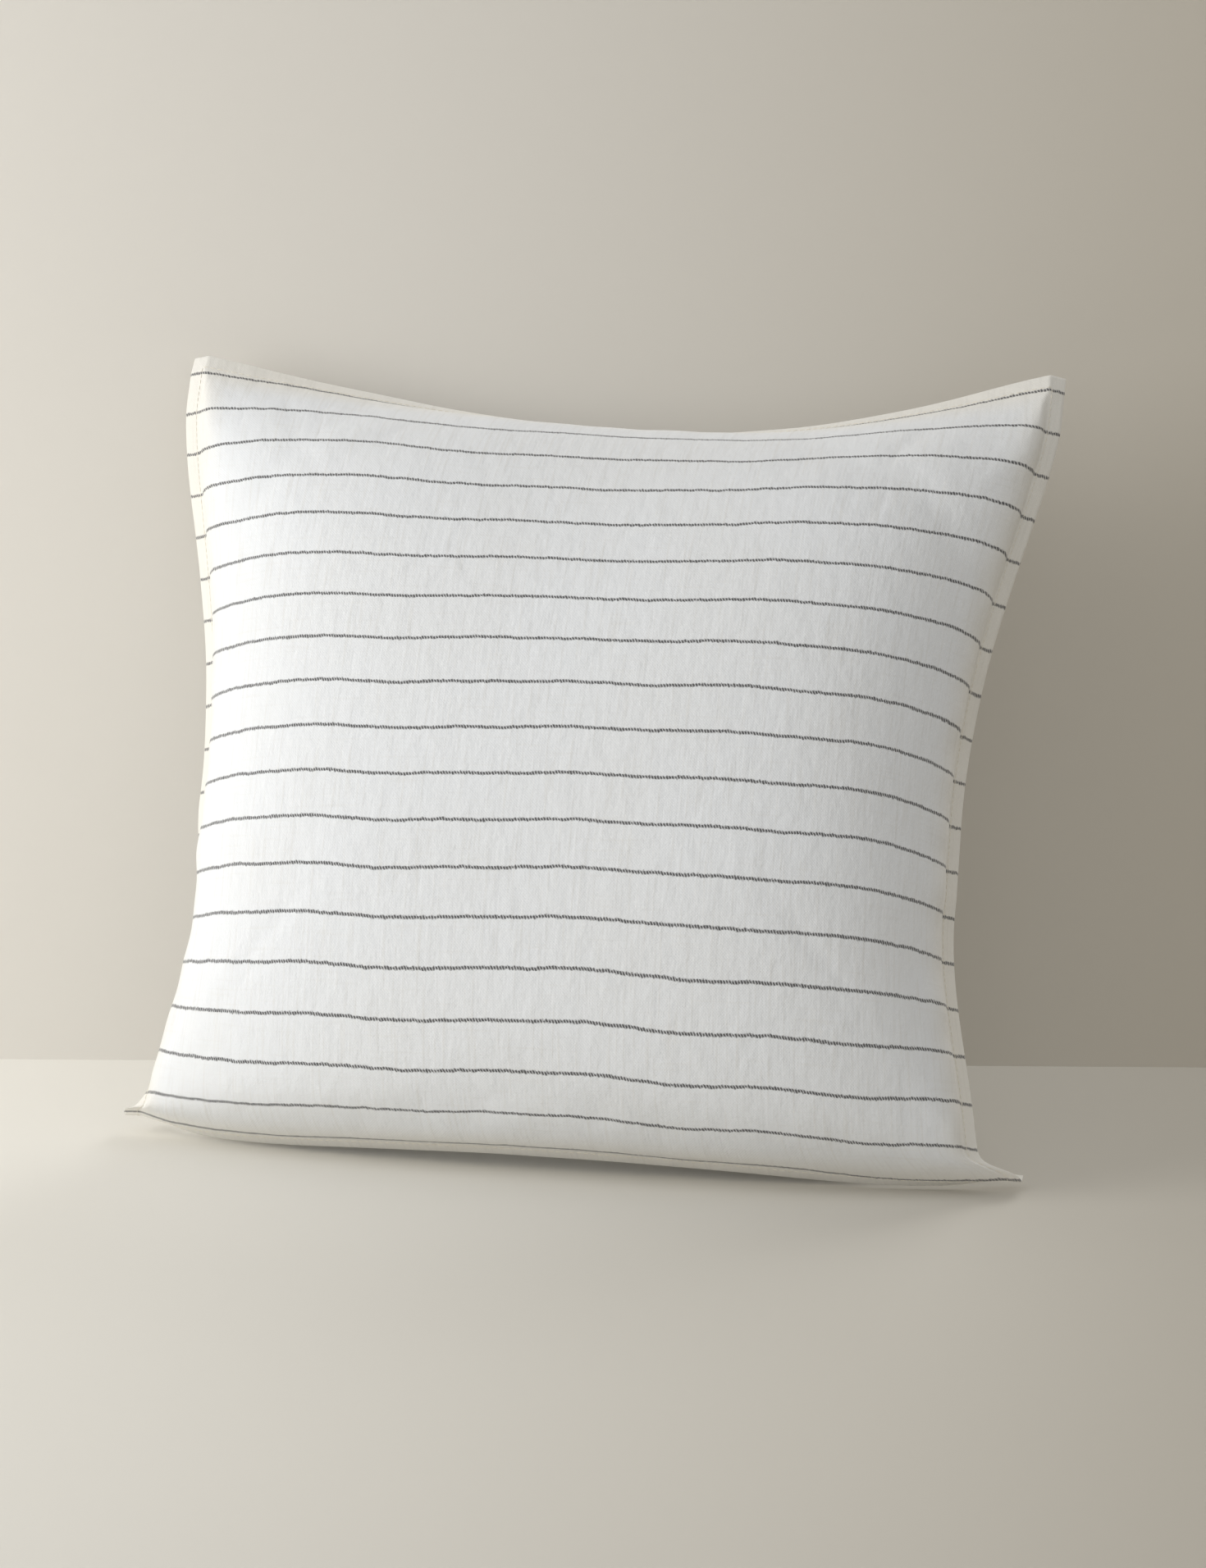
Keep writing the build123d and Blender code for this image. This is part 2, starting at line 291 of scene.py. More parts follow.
def stuffed_form(u, v, face):
    """The cloth inside the seam, in the leaning plane: the seam's surface with the crown raised on it.

    The crown is one less a power of the way out, across and up, each with its own fullness. The roll at
    the seam is one less an exponential. The cloth's lines crowd up and down towards the seams.
    """
    inner_u, inner_v = inside_seam(u), inside_seam(v)
    across, up, out = seam_sheet(inner_u, inner_v)
    side, rise = inner_u / REACH_MM, inner_v / REACH_MM
    crowd = np.where(v > 0, 66.5, 66.9) * rise ** 3 * hump(rise) * (1 - side ** 4)
    skew = 5.6 * side * (1 - side ** 4) * (1 - rise ** 4)
    fall = np.where(v > 0, 3.34, 3.25)
    crown = (1 - np.abs(side) ** 3.84) ** 0.92 * (1 - np.abs(rise) ** fall) ** 1.3
    lift = 10 * np.exp(-((v - 62) / 88) ** 2) * hump(side)
    from_u, from_v = REACH_MM - np.abs(inner_u), REACH_MM - np.abs(inner_v)
    steep = np.where(v > 0, 0.25 + 0.75 * hump(1.5 * (side + 0.08), 2), 0.3)
    roll = 1 - np.exp(-(np.minimum(from_u, from_v * steep) / ROLL_LENGTH) ** 1.2)
    wave = gathers(v, 1.0 + np.sign(u)) * np.exp(-from_u / 14)
    wave = wave + gathers(u, 2.0 * np.sign(v)) * np.exp(-from_v / 14)
    pucker = np.where(u > 0, 3.2, 2.2)
    out = out + face * (CROWN * crown + ROLL_UP * roll + pucker * wave * roll + CLOTH_GAP)
    swell = OVERHANG * np.where(u > 0, 1, 0.4) + 0.9 * gathers(v, 1.7)
    across = across + np.sign(u) * swell * rolled(from_u) * ease(from_v / 30)
    over_top = np.sign(v) * OVERHANG * rolled(from_v) * ease(from_u / 30) * (steep - 0.25)
    return across, up + crowd + skew + lift + over_top, out


print("crown", CROWN + ROLL_UP, "mm over the seam on each face")

# %% [markdown]
# The flange is only two layers of cloth, so it goes its own way past the seam: it leans back along the
# sides, stands up along the top and is tucked behind low on the left. The filling has also settled
# unevenly, which leaves a few soft dents near the corners.

# %% The flange and the dents
def folds(u, v):
    """Soft dents in the filling: long dips with a bell's section, each placed, turned and sized."""
    total = 0 * u
    for at_u, at_v, turn, length, width, depth in (
            (-158, 208, 24, 34, 9, 2.6), (-128, 188, 32, 40, 10, 2.2), (-196, 150, 60, 42, 9, 1.8),
            (150, 182, -38, 42, 10, 2.8), (186, 166, -50, 40, 9, 2.4), (112, 196, -22, 38, 9, 1.8),
            (-40, -205, 8, 50, 12, 2.2), (60, -214, -6, 44, 10, 1.8)):
        cos, sin = math.cos(math.radians(turn)), math.sin(math.radians(turn))
        along = ((u - at_u) * cos + (v - at_v) * sin) / length
        across = ((v - at_v) * cos - (u - at_u) * sin) / width
        total = total - depth * np.exp(-along ** 2 - across ** 2)
    return total


def flange_bend(u, v):
    """How far the flange goes across, up and out from its seam, for cloth at u, v.

    Each way it is the distance past the seam times a share: more opens out, less lies folded back.
    """
    bend_u, bend_v = u - inside_seam(u), v - inside_seam(v)
    side = inside_seam(u) / REACH_MM
    tip, foot = ease((v - 40) / 210), ease((-v - 205) / 38)
    tucked = ease((-v - 30) / 60) * (1 - ease((-v - 200) / 30))
    open_out = np.where(u > 0, 0.6, 0.75 - 0.6 * tucked)
    top_edge, low_edge = np.clip(bend_v, 0, None), np.clip(-bend_v, 0, None)
    ripple = gathers(v / 2.2, 0.5 + np.sign(u)) * np.abs(bend_u)
    ripple = ripple + gathers(u / 2.2, 1.5 * np.sign(v)) * np.abs(bend_v)
    across = bend_u * (open_out + 0.2 * tip + 0.25 * foot)
    up = top_edge * (0.44 + 0.57 * side ** 2) - (0.25 - 0.75 * side ** 12) * low_edge
    out = 0.09 * ripple - np.abs(bend_u) * (0.8 - 0.35 * tip - 0.65 * foot)
    out = out - top_edge * (0.92 - 0.6 * side ** 2) - 0.95 * low_edge
    return across, up, out


def stuffed(u, v, face):
    """Room positions of cloth at u, v (metres); face is 1 for the front and -1 for the back."""
    u, v = u / MM, v / MM
    form, bend = stuffed_form(u, v, face), flange_bend(u, v)
    across, up, out = (place + shift for place, shift in zip(form, bend))
    out = out + (folds(u, v) if face > 0 else 0)
    return leaning(across * MM, up * MM, out * MM)


top_middle = stuffed(np.zeros(1), np.array([HALF]), 1)[0]
print("top edge's middle", (top_middle[2] / MM).round(), "mm up")

# %% [markdown]
# ## Resting on the floor and held at the zip
# The back is the same crown turned over, but its lower part is pushed down onto the floor, and the zip
# keeps one band of it flat and straight. The band's cloth is placed exactly in the zip's plane.

# %% The back's lower part
FLOOR_CLEAR = 1.2 * MM
BAND_HALF = 20 * MM              # of the flat band of cloth along the zip, each way
BAND_PAST = 12 * MM              # how far the band runs on past the zip's stitches
EASE_LENGTH = 70 * MM            # over which the cloth comes back up from the band


def settle_back(points, u, v):
    """Back cloth drawn down towards the zip's line, then lifted out of the floor."""
    across = ease((SEAM - np.abs(u)) / EASE_LENGTH)
    above_zip = ease((EASE_LENGTH - v) / (EASE_LENGTH - ZIP_CLOTH))
    along = ease((v + SEAM) / (SEAM + ZIP_CLOTH)) * above_zip
    middle = np.abs(u[:, 0]).argmin()
    at_zip = np.abs(v[0] - ZIP_CLOTH).argmin()
    pull = ZIP_MIDDLE - points[middle, at_zip]
    points = points + (across * along)[..., None] * pull * [0, 1, 1]
    points[..., 2] = np.maximum(points[..., 2], FLOOR_CLEAR)
    return points


# %% [markdown]
# ## One closed cover
# The front and the back meet at the outer edge of the flange, where the cloth is turned, so they
# share those points and the form is closed. The rest of the flange is two layers that lie together.

# %% The cover's mesh
TINY = 0.001 * MM                # so that places exactly on a line count as past it
rim = np.zeros(U.shape, bool)
rim[[0, -1], :] = True
rim[:, [0, -1]] = True
front_numbers = np.arange(U.size).reshape(U.shape)
back_numbers = np.where(rim, front_numbers, 0)
back_numbers[~rim] = U.size + np.arange((~rim).sum())

front = stuffed(U, V, 1)
back = settle_back(stuffed(U, V, -1), U, V)
on_flange = (np.abs(U) > SEAM - TINY) | (np.abs(V) > SEAM - TINY)
in_band = (np.abs(U) <= ZIP_HALF + BAND_PAST) & (np.abs(V - ZIP_CLOTH) <= BAND_HALF)
back[in_band] = zip_place(U[in_band], V[in_band] - ZIP_CLOTH, 0)
front[..., 2] = np.maximum(front[..., 2], FLOOR_CLEAR)

points = np.concatenate([front.reshape(-1, 3), back[~rim]])
points[front_numbers[rim]] = (front[rim] + back[rim]) / 2
flat = np.stack([U, V, 0 * U], -1)
flat_points = np.concatenate([flat.reshape(-1, 3), flat[~rim]])
front_cells = grid_cells(front_numbers)
back_cells = grid_cells(back_numbers)[:, ::-1]
cells = np.concatenate([front_cells, back_cells])
cloth_uv = flat_points[cells.ravel(), :2]
cover = make_piece("linen_cover", points, cells, cloth_uv)
print("cover", len(points), "points", len(cells), "cells")

# %% [markdown]
# ## Letting the cloth settle
# A short cloth simulation turns the drawn shape into cloth. The flat squares are its rest shape, the
# filling is a gentle pressure, and the flange, its seam and the band along the zip are held. Where
# the drawn shape has more cloth than it needs, the cloth puckers, as on a real pillow.

# %% The cloth simulation
FRAMES = 16


def settle_cloth(piece, rest_points, held, pressure):
    """Positions of the piece's points after a short cloth simulation with these points held."""
    piece.shape_key_add(name="drawn")
    rest = piece.shape_key_add(name="flat")
    rest.data.foreach_set("co", rest_points.ravel())
    rest.value = 0
    group = piece.vertex_groups.new(name="held")
    group.add(np.flatnonzero(held).tolist(), 1.0, "REPLACE")
    modifier = piece.modifiers.new("cloth", "CLOTH")
    cloth = modifier.settings
    cloth.quality = 6
    cloth.mass = 0.15
    cloth.tension_stiffness = 22
    cloth.compression_stiffness = 9
    cloth.shear_stiffness = 5
    cloth.bending_stiffness = 0.25
    cloth.tension_damping = cloth.compression_damping = cloth.shear_damping = 5
    cloth.air_damping = 2
    cloth.use_pressure = True
    cloth.uniform_pressure_force = pressure
    cloth.vertex_group_mass = "held"
    cloth.pin_stiffness = 1
    cloth.rest_shape_key = rest
    cloth.effector_weights.gravity = 0
    modifier.collision_settings.use_collision = False
    modifier.collision_settings.use_self_collision = False
    modifier.point_cache.frame_start = 1
    modifier.point_cache.frame_end = FRAMES
    for step in range(1, FRAMES + 1):
        bpy.context.scene.frame_set(step)
    shape = piece.evaluated_get(bpy.context.evaluated_depsgraph_get()).to_mesh()
    settled = np.empty(len(shape.vertices) * 3)
    shape.vertices.foreach_get("co", settled)
    piece.modifiers.remove(modifier)
    piece.shape_key_clear()
    piece.vertex_groups.clear()
    bpy.context.scene.frame_set(1)
    return settled.reshape(-1, 3)


held = np.zeros(len(points), bool)
held[front_numbers[on_flange]] = True
held[back_numbers[on_flange | in_band]] = True
settled = settle_cloth(cover, flat_points, held, pressure=2.0)
moved = np.linalg.norm(settled - points, axis=1)
print("cloth moved: most", round(moved.max() / MM, 1), "mm, mean", round(moved.mean() / MM, 2), "mm")

# %% [markdown]
# ## The zip's slot
# The two turned edges of the cloth stop short of each other, and the tapes show in the gap between
# them. The cells of the gap sink below the tapes, which makes the turned edges stand up as lips.

# %% Sink the slot
SLOT_DEPTH = 2.4 * MM
LOWEST = 0.5 * MM                # how near the floor the settled cloth may come
inner_half = SLOT_HALF - SLOT_WALL + TINY
in_slot = (np.abs(U) <= ZIP_HALF + TINY) & (np.abs(V - ZIP_CLOTH) <= inner_half)
front = settled[front_numbers]
back = settled[back_numbers]
back[in_slot] = zip_place(U[in_slot], V[in_slot] - ZIP_CLOTH, -SLOT_DEPTH)
back[..., 2] = np.maximum(back[..., 2], LOWEST)
front[..., 2] = np.maximum(front[..., 2], LOWEST)
settled[back_numbers[~rim]] = back[~rim]
settled[front_numbers.ravel()] = front.reshape(-1, 3)
cover.data.vertices.foreach_set("co", settled.ravel())
cover.data.update()
smooth = cover.modifiers.new("smooth", "SUBSURF")
smooth.levels = smooth.render_levels = 1
low_corner, high_corner = settled.min(0), settled.max(0)
print("cover from", low_corner.round(4), "to", high_corner.round(4))

# %% [markdown]
# ## Finding a place on the cloth
# Stitches are sewn into the cloth, so they need to know where a flat place of it came to lie, and
# which way it faces there. This function reads both between the grid's lines.

# %% Places on the cloth
def on_cloth(grid, u, v, outward):
    """Position and outward normal of the cloth at flat places u, v, by blending the four lines round."""
    i = np.clip(np.searchsorted(u_lines, u) - 1, 0, len(u_lines) - 2)
    j = np.clip(np.searchsorted(v_lines, v) - 1, 0, len(v_lines) - 2)
    s = ((u - u_lines[i]) / (u_lines[i + 1] - u_lines[i]))[..., None]
    t = ((v - v_lines[j]) / (v_lines[j + 1] - v_lines[j]))[..., None]

    def blend(values):
        low = values[i, j] * (1 - s) + values[i + 1, j] * s
        high = values[i, j + 1] * (1 - s) + values[i + 1, j + 1] * s
        return low * (1 - t) + high * t

    return blend(grid), outward * blend(grid_normals(grid))


# %% [markdown]
# ## Shader helpers
# Colours are given as the eye reads them and are turned into the linear values that light needs. One
# helper adds a node with its settings and its links, and another starts a material.

# %% Shader helpers
def hue(code):
    """Linear red, green, blue and one for a six-digit sRGB colour."""
    levels = [int(code[k:k + 2], 16) / 255 for k in (1, 3, 5)]
    linear = [c / 12.92 if c <= 0.04045 else ((c + 0.055) / 1.055) ** 2.4 for c in levels]
    return (*linear, 1.0)


def add(tree, kind, links=None, **settings):
    """A new node; links maps a socket's name or number to a value or to another node's output."""
    node = tree.nodes.new(kind)
    for name, value in settings.items():
        setattr(node, name, value)
    for socket, value in (links or {}).items():
        if isinstance(value, bpy.types.NodeSocket):
            tree.links.new(value, node.inputs[socket])
        else:
            node.inputs[socket].default_value = value
    return node


def start_material(name, **constants):
    """A material with one principled shader; constants go on its sockets with spaces for underscores."""
    material = bpy.data.materials.new(name)
    material.use_nodes = True
    tree = material.node_tree
    shader = tree.nodes["Principled BSDF"]
    for socket, value in constants.items():
        shader.inputs[socket.replace("_", " ")].default_value = value
    return material, tree, shader


def two_tones(tree, shader, factor, first, second):
    """Base colour that is the first where the factor is nothing and the second where it is one."""
    shade = add(tree, "ShaderNodeMix", {0: factor, 6: hue(first), 7: hue(second)}, data_type="RGBA")
    tree.links.new(shade.outputs[2], shader.inputs["Base Color"])


def raised(tree, shader, height, distance):
    """Relief that stands up by the distance where the height is one."""
    relief = add(tree, "ShaderNodeBump", {"Height": height, "Distance": distance})
    tree.links.new(relief.outputs[0], shader.inputs["Normal"])


# %% [markdown]
# ## The striped linen
# The cover is washed linen in a loose plain weave, white with nineteen charcoal pin stripes. Its yarns
# swell and thin, so it is streaked both ways. Over the flanges and seams the ground is creamier, partly
# for the layers that lie together there and partly as painted warm shade along the seams. A stripe is a
# few dark weft yarns;
# the white warp still crosses over them, so it reads as a row of dark beads with a fuzzy edge. All of it
# follows the flat places of the cloth.

# %% The linen's flat places
WARP_PITCH = 1.6 * MM            # drawn three times coarser than the real yarn, which would shimmer
STRIPE_WIDTH = 1.8 * MM
linen, tree, shader = start_material(
    "washed striped linen", Roughness=0.86, IOR=1.5, Sheen_Weight=0.25, Sheen_Roughness=0.5,
    Specular_IOR_Level=0.25)
place = add(tree, "ShaderNodeUVMap", uv_map="cloth").outputs[0]
parts = add(tree, "ShaderNodeSeparateXYZ", {0: place})
u_place, v_place = parts.outputs[0], parts.outputs[1]


def sums(kind, first, second=0.0, third=0.0, clamp=False):
    """The output of one arithmetic step in the linen's tree."""
    links = {0: first, 1: second, 2: third}
    return add(tree, "ShaderNodeMath", links, operation=kind, use_clamp=clamp).outputs[0]


def grain(per_u, per_v, detail=2.0, roughness=0.5, seed=0.0):
    """Noise over the flat cloth, with this many swells per metre along U and along V."""
    spot = add(tree, "ShaderNodeMapping", {0: place, 1: (seed, seed, seed), 3: (per_u, per_v, 1)})
    noise = add(tree, "ShaderNodeTexNoise", {0: spot.outputs[0]}, noise_dimensions="2D")
    noise.inputs["Scale"].default_value = 1
    noise.inputs["Detail"].default_value = detail
    noise.inputs["Roughness"].default_value = roughness
    return noise.outputs[0]


def tint(factor, first, second):
    """First colour where the factor is nothing, second where it is one."""
    mix = add(tree, "ShaderNodeMix", data_type="RGBA")
    for socket, value in ((0, factor), (6, first), (7, second)):
        if isinstance(value, bpy.types.NodeSocket):
            tree.links.new(value, mix.inputs[socket])
        else:
            mix.inputs[socket].default_value = value
    return mix.outputs[2]


def remap(value, low, high, to_low=0.0, to_high=1.0):
    """A smooth change from to_low to to_high while the value goes from low to high."""
    links = {0: value, 1: low, 2: high, 3: to_low, 4: to_high}
    return add(tree, "ShaderNodeMapRange", links, interpolation_type="SMOOTHSTEP").outputs[0]


# %% [markdown]
# ### The stripes
# Each stripe wanders a millimetre or so to either side, because loose linen shifts in the wash. Its
# edge is broken by noise, and the warp yarns that cross it are drawn as a slanting beat along it.

# %% The stripes' mask
wander = sums("MULTIPLY", sums("SUBTRACT", grain(9, 2.5, 1.0, seed=3.1), 0.5), 9.0 * MM)
shake = sums("MULTIPLY", sums("SUBTRACT", grain(90, 30, 2.0, seed=7.7), 0.5), 1.5 * MM)
shifted = sums("ADD", v_place, sums("ADD", wander, shake))
steps = sums("DIVIDE", sums("SUBTRACT", FIRST_STRIPE, shifted), PITCH)
off_line = sums("MULTIPLY", sums("ABSOLUTE", sums("SUBTRACT", steps, sums("ROUND", steps))), PITCH)
slant = sums("ADD", u_place, sums("MULTIPLY", shifted, 0.45))
beat = sums("ABSOLUTE", sums("SINE", sums("MULTIPLY", slant, math.pi / WARP_PITCH)))
fray = grain(700, 500, 1.0, seed=1.3)
dark_half = sums("MULTIPLY_ADD", sums("SUBTRACT", fray, 0.5), 1.5 * MM, STRIPE_WIDTH / 2)
stripe = remap(sums("SUBTRACT", off_line, dark_half), -0.5 * MM, 0.5 * MM, 1.0, 0.0)
yarn_shows = remap(sums("ADD", beat, sums("MULTIPLY", grain(260, 40, seed=9.2), 0.5)), 0.35, 0.95)
stripe = sums("MULTIPLY", stripe, sums("MULTIPLY_ADD", yarn_shows, 0.75, 0.25), clamp=True)

# %% [markdown]
# ### The ground
# The ground is a cool white that turns to a cream towards the edges, partly painted warm shade along the
# seams. Slubs are long thin streaks: more of them run up the cloth, with the warp, than across it.

# %% The ground's colour
edge_u = sums("ABSOLUTE", u_place)
edge_v = sums("ABSOLUTE", v_place)
edge = sums("MAXIMUM", edge_u, edge_v)
# painted warm shade: the ground turns creamier from 222 to 247 mm out from the middle, over the seams
# and flanges
painted_edge_cream = remap(edge, 222 * MM, 247 * MM)
warp_slubs = grain(520, 22, 2.0, seed=2.2)
weft_slubs = grain(26, 460, 2.0, seed=5.5)
broad = grain(12, 9, 2.0, seed=8.8)
ground = tint(painted_edge_cream, hue("#e8eaec"), hue("#e8e5dd"))
ground = tint(remap(broad, 0.35, 0.7, 0.0, 0.2), ground, hue("#e3e3e1"))
ground = tint(remap(warp_slubs, 0.5, 0.8, 0.0, 0.26), ground, hue("#d6d3cc"))
ground = tint(remap(weft_slubs, 0.55, 0.85, 0.0, 0.16), ground, hue("#d9d6cf"))
charcoal = tint(grain(300, 300, seed=4.4), hue("#434345"), hue("#747373"))
tree.links.new(tint(stripe, ground, charcoal), shader.inputs["Base Color"])

# %% [markdown]
# ### The relief
# The weave stands up as two crossed beats, the slubs thicken it, and a crinkle of a few millimetres
# stays from the wash. Together they catch the soft light from the side.

# %% The linen's relief
warp_beat = sums("SINE", sums("MULTIPLY", u_place, 2 * math.pi / WARP_PITCH))
weft_beat = sums("SINE", sums("MULTIPLY", v_place, 2 * math.pi / WARP_PITCH))
weave = sums("MULTIPLY", sums("MULTIPLY", warp_beat, weft_beat), 0.06 * MM)
slubs = sums("MULTIPLY", sums("ADD", warp_slubs, sums("MULTIPLY", weft_slubs, 0.6)), 0.22 * MM)
crinkle = sums("MULTIPLY", grain(95, 60, 3.0, 0.55, seed=6.6), 1.5 * MM)
height = sums("ADD", sums("ADD", weave, slubs), crinkle)
relief = add(tree, "ShaderNodeBump", {"Height": height, "Distance": 1.0, "Strength": 0.55})
tree.links.new(relief.outputs[0], shader.inputs["Normal"])
cover.data.materials.append(linen)
print("linen nodes", len(tree.nodes))

# %% [markdown]
# ## The inner pad
# Inside is a plain cotton pad, a little smaller than the cover, and inside that the fibre filling.
# Each is the settled cover drawn in towards its own middle surface, with room left under the cloth.

# %% The inner pad
PAD_REACH = SEAM - 12 * MM       # how far out from the middle of the cloth the pad goes
PAD_ROOM = 5.5 * MM              # how far under the cover it stays
FILLING_REACH = SEAM - 22 * MM
FILLING_ROOM = 9.0 * MM


def drawn_in(name, limit, room):
    """A closed form inside the cover: the middle surface plus or minus the half thickness less room.

    That is closed towards the outline by the square root of one less the eighth power of the way out.
    """
    rows = np.flatnonzero(np.abs(u_lines) <= limit)[::2]
    columns = np.flatnonzero(np.abs(v_lines) <= limit)[::2]
    near, far = front[np.ix_(rows, columns)], back[np.ix_(rows, columns)]
    flat_u, flat_v = np.meshgrid(u_lines[rows], v_lines[columns], indexing="ij")
    reach_u, reach_v = np.abs(u_lines[rows]).max(), np.abs(v_lines[columns]).max()
    outwards = np.maximum(np.abs(flat_u) / reach_u, np.abs(flat_v) / reach_v)
    middle = (near + far) / 2
    half = np.linalg.norm(near - middle, axis=-1)
    share = (np.sqrt(np.clip(1 - outwards ** 8, 0, 1)) * np.clip(1 - room / half, 0, 1))[..., None]
    outline = np.isclose(outwards, 1)
    near_numbers = np.arange(outwards.size).reshape(outwards.shape)
    far_numbers = near_numbers.copy()
    far_numbers[~outline] = outwards.size + np.arange((~outline).sum())
    near_points = middle + share * (near - middle)
    far_points = middle + share * (far - middle)
    form_points = np.concatenate([near_points.reshape(-1, 3), far_points[~outline]])
    form_cells = np.concatenate([grid_cells(near_numbers), grid_cells(far_numbers)[:, ::-1]])
    return make_piece(name, form_points, form_cells)


pad = drawn_in("inner_pad", PAD_REACH, PAD_ROOM)
filling = drawn_in("fibre_filling", FILLING_REACH, FILLING_ROOM)
print("inner pad", len(pad.data.vertices), "points, filling", len(filling.data.vertices))

# Close cotton: a matt cream white with a faint fleck of lint.
cotton, tree, shader = start_material("cotton ticking", Roughness=0.9, IOR=1.5, Sheen_Weight=0.15)
spot = add(tree, "ShaderNodeTexCoord").outputs["Object"]
lint = add(tree, "ShaderNodeTexNoise", {"Vector": spot, "Scale": 900.0, "Detail": 2.0})
two_tones(tree, shader, lint.outputs[0], "#ebe6da", "#dcd6c8")
raised(tree, shader, lint.outputs[0], 0.2 * MM)
pad.data.materials.append(cotton)

# Fibre fill: cleaner white, softly lumped at the size of a finger.
fluff, tree, shader = start_material("polyester fibre fill", Roughness=0.95, IOR=1.5, Sheen_Weight=0.4)
spot = add(tree, "ShaderNodeTexCoord").outputs["Object"]
lumps = add(tree, "ShaderNodeTexNoise", {"Vector": spot, "Scale": 60.0, "Detail": 4.0})
two_tones(tree, shader, lumps.outputs[0], "#f4f3f0", "#e2e0dc")
raised(tree, shader, lumps.outputs[0], 3 * MM)
filling.data.materials.append(fluff)

# %% [markdown]
# ## Strands
# Stitches and the zip's coil are both short or long strands. Each strand is a row of rings set across
# its path; a stitch narrows to its two ends, where it dives into the cloth.

# %% Strands
def strands(name, paths, outward, radii, sides=6):
    """Tubes along many paths at once: rings of the given radii round each path, with closed ends.

    paths and outward are arrays of strand by step by three; radii has one value for each step.
    """
    along = np.gradient(paths, axis=1)
    across = np.cross(along, outward)
    across /= np.linalg.norm(across, axis=-1, keepdims=True)
    lift = np.cross(across, along)
    lift /= np.linalg.norm(lift, axis=-1, keepdims=True)
    turn = np.linspace(0, 2 * math.pi, sides, endpoint=False)[:, None]
    ring = np.cos(turn) * across[:, :, None] + np.sin(turn) * lift[:, :, None]
    ring_points = paths[:, :, None] + np.asarray(radii)[:, None, None] * ring
    count, steps = paths.shape[:2]
    numbers = np.arange(count * steps * sides).reshape(count, steps, sides)
    after = np.roll(numbers, -1, axis=2)
    quads = np.stack([numbers[:, :-1], after[:, :-1], after[:, 1:], numbers[:, 1:]], -1).reshape(-1, 4)
    caps = np.concatenate([numbers[:, 0, ::-1], numbers[:, -1]])
    return make_piece(name, ring_points.reshape(-1, 3), quads.tolist() + caps.tolist())


# %% [markdown]
# ## Stitches
# The flange is stitched through just outside its seam, and the zip's band has a row of stitches each
# side. Each stitch shows about three millimetres of thread, then dips through the cloth.

# %% Rows of stitches
STITCH = 3.2 * MM
STITCH_GAP = 0.7 * MM
THREAD = 0.19 * MM
FLANGE_ROW = SEAM + 2 * MM
ZIP_ROW = 8 * MM
stitch_steps = np.linspace(-1, 1, 7)
stitch_radii = THREAD * np.sqrt(np.clip(1 - stitch_steps ** 4, 0.02, 1))
stitch_rise = THREAD * (0.9 - 1.3 * stitch_steps ** 4)


def row_of_stitches(start, stop):
    """Flat places of the steps of each stitch along a line from start to stop, stitch by step by two."""
    start, stop = np.array(start), np.array(stop)
    length = np.linalg.norm(stop - start)
    count = int(length // (STITCH + STITCH_GAP))
    direction = (stop - start) / length
    middles = (np.arange(count) + 0.5) * length / count
    offsets = middles[:, None] + stitch_steps * STITCH / 2
    return start + offsets[..., None] * direction


def sew(name, rows):
    """One piece from rows of (grid, outward sign, flat places); each stitch arches over the cloth."""
    paths, normals = [], []
    for grid, outward, places in rows:
        spots, facing = on_cloth(grid, places[..., 0], places[..., 1], outward)
        facing /= np.linalg.norm(facing, axis=-1, keepdims=True)
        paths.append(spots + stitch_rise[:, None] * facing)
        normals.append(facing)
    return strands(name, np.concatenate(paths), np.concatenate(normals), stitch_radii)


corners = [(-FLANGE_ROW, -FLANGE_ROW), (FLANGE_ROW, -FLANGE_ROW), (FLANGE_ROW, FLANGE_ROW),
           (-FLANGE_ROW, FLANGE_ROW), (-FLANGE_ROW, -FLANGE_ROW)]
sides_sewn = [row_of_stitches(a, b) for a, b in zip(corners[:-1], corners[1:])]
flange_rows = [(front, 1, row) for row in sides_sewn] + [(back, -1, row) for row in sides_sewn]
flange_thread = sew("flange_stitches", flange_rows)
zip_rows = [row_of_stitches((-ZIP_HALF, ZIP_CLOTH + k * ZIP_ROW), (ZIP_HALF, ZIP_CLOTH + k * ZIP_ROW))
            for k in (-1, 1)]
zip_thread = sew("zip_stitches", [(back, -1, row) for row in zip_rows])
flange_count = sum(len(places) for _, _, places in flange_rows)
print("stitches", flange_count, "on the flange,", sum(map(len, zip_rows)), "at the zip")

# Polyester sewing thread: off-white, a little shinier than the linen, with a fine twist along it.
thread, tree, shader = start_material("sewing thread", Roughness=0.55, IOR=1.5, Sheen_Weight=0.2)
spot = add(tree, "ShaderNodeTexCoord").outputs["Object"]
twist = add(tree, "ShaderNodeTexNoise", {"Vector": spot, "Scale": 1800.0})
two_tones(tree, shader, twist.outputs[0], "#f3eee2", "#e6dfcf")
for piece in (flange_thread, zip_thread):
    piece.data.materials.append(thread)

# %% [markdown]
# ## The zip
# A nylon zip's teeth are two long coils of stiff thread, sewn side by side onto woven tapes. The
# tapes, stops, slider and pull have their true shapes in the frame already, so they only get finishes.
# The coils are wound here as flattened helices that reach towards each other over the tapes' edges.

# %% The zip's coils
COIL_PITCH = 1.35 * MM
COIL_WIRE = 0.24 * MM
COIL_HALF = ZIP_HALF - 2.5 * MM
COIL_STEPS = 10                  # to each turn
COIL_MIDDLE = 1.575 * MM         # of each coil, from the zip's line
COIL_REACH = 0.78 * MM           # half of the coil's flattened width
COIL_DEPTH = 0.9 * MM            # of the coil's middle under the face of the cloth
COIL_RISE = 0.34 * MM            # half of the coil's height


